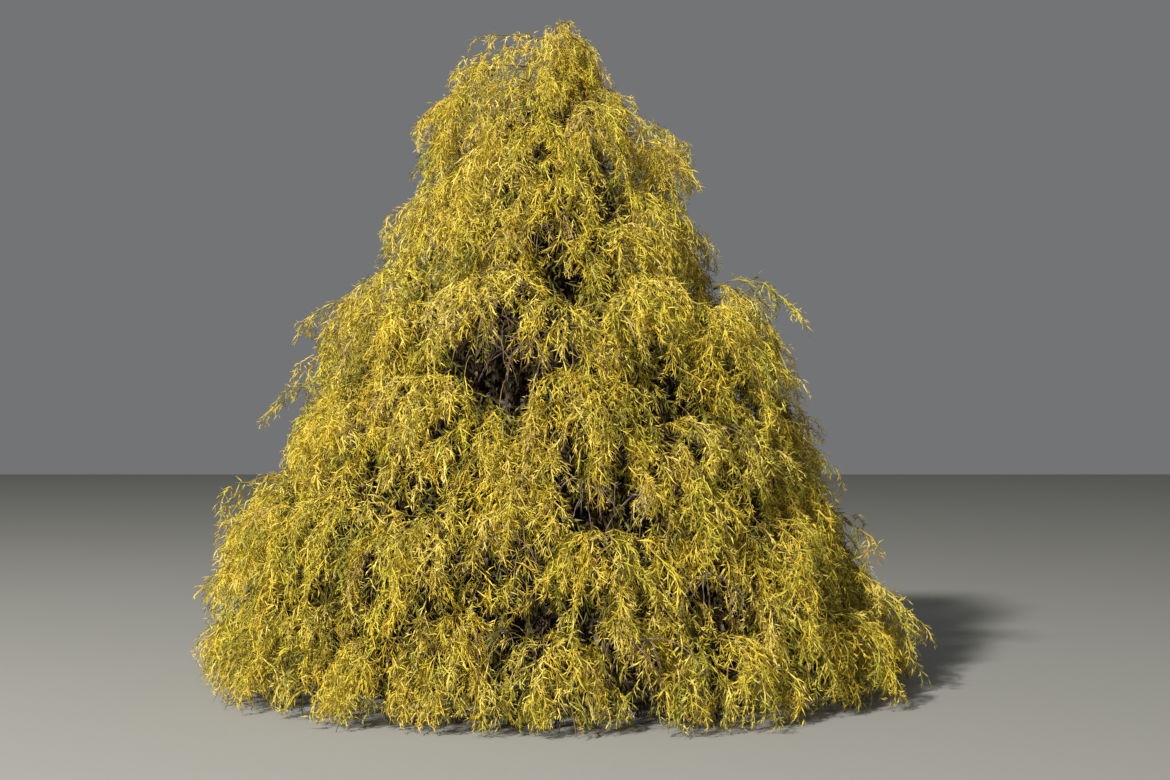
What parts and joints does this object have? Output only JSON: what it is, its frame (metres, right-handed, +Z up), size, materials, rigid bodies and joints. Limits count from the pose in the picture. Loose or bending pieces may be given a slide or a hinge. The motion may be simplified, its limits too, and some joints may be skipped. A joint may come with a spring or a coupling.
{
  "type": "golden threadleaf sawara cypress",
  "caption": "Broad weeping conifer: a single trunk inside a shingled cone of hanging, thread-like golden foliage that skirts the ground.",
  "frame": {"origin": "centre of the flat cut under the trunk, at ground level", "axes": "+Z up, +X to the right and +Y away from the viewer of the picture"},
  "size_m": [4.4573, 4.4104, 3.7656],
  "materials": {
    "bark": "rough fibrous bark",
    "foliage": "matt scale leaves"
  },
  "bodies": {
    "root": {"trunk": "bark", "bough_01": "bark", "bough_02": "bark", "bough_03": "bark", "bough_04": "bark", "bough_05": "bark", "bough_06": "bark", "bough_07": "bark", "bough_08": "bark", "bough_09": "bark", "bough_10": "bark", "bough_11": "bark", "bough_12": "bark", "bough_13": "bark", "bough_14": "bark", "bough_15": "bark", "bough_16": "bark", "bough_17": "bark", "bough_18": "bark", "bough_19": "bark", "bough_20": "bark", "bough_21": "bark", "foliage_01": "foliage", "foliage_02": "foliage", "foliage_03": "foliage", "foliage_04": "foliage", "foliage_05": "foliage", "foliage_06": "foliage", "foliage_07": "foliage", "foliage_08": "foliage", "foliage_09": "foliage", "foliage_10": "foliage", "foliage_11": "foliage", "foliage_12": "foliage", "foliage_13": "foliage", "foliage_14": "foliage", "foliage_15": "foliage", "foliage_16": "foliage", "foliage_17": "foliage", "foliage_18": "foliage", "foliage_19": "foliage", "foliage_20": "foliage", "foliage_21": "foliage", "foliage_22": "foliage", "foliage_23": "foliage", "foliage_24": "foliage", "foliage_25": "foliage", "foliage_26": "foliage", "foliage_27": "foliage", "foliage_28": "foliage", "foliage_29": "foliage", "foliage_30": "foliage", "foliage_31": "foliage", "foliage_32": "foliage", "foliage_33": "foliage", "foliage_34": "foliage", "foliage_35": "foliage", "foliage_36": "foliage"}
  },
  "joints": []
}
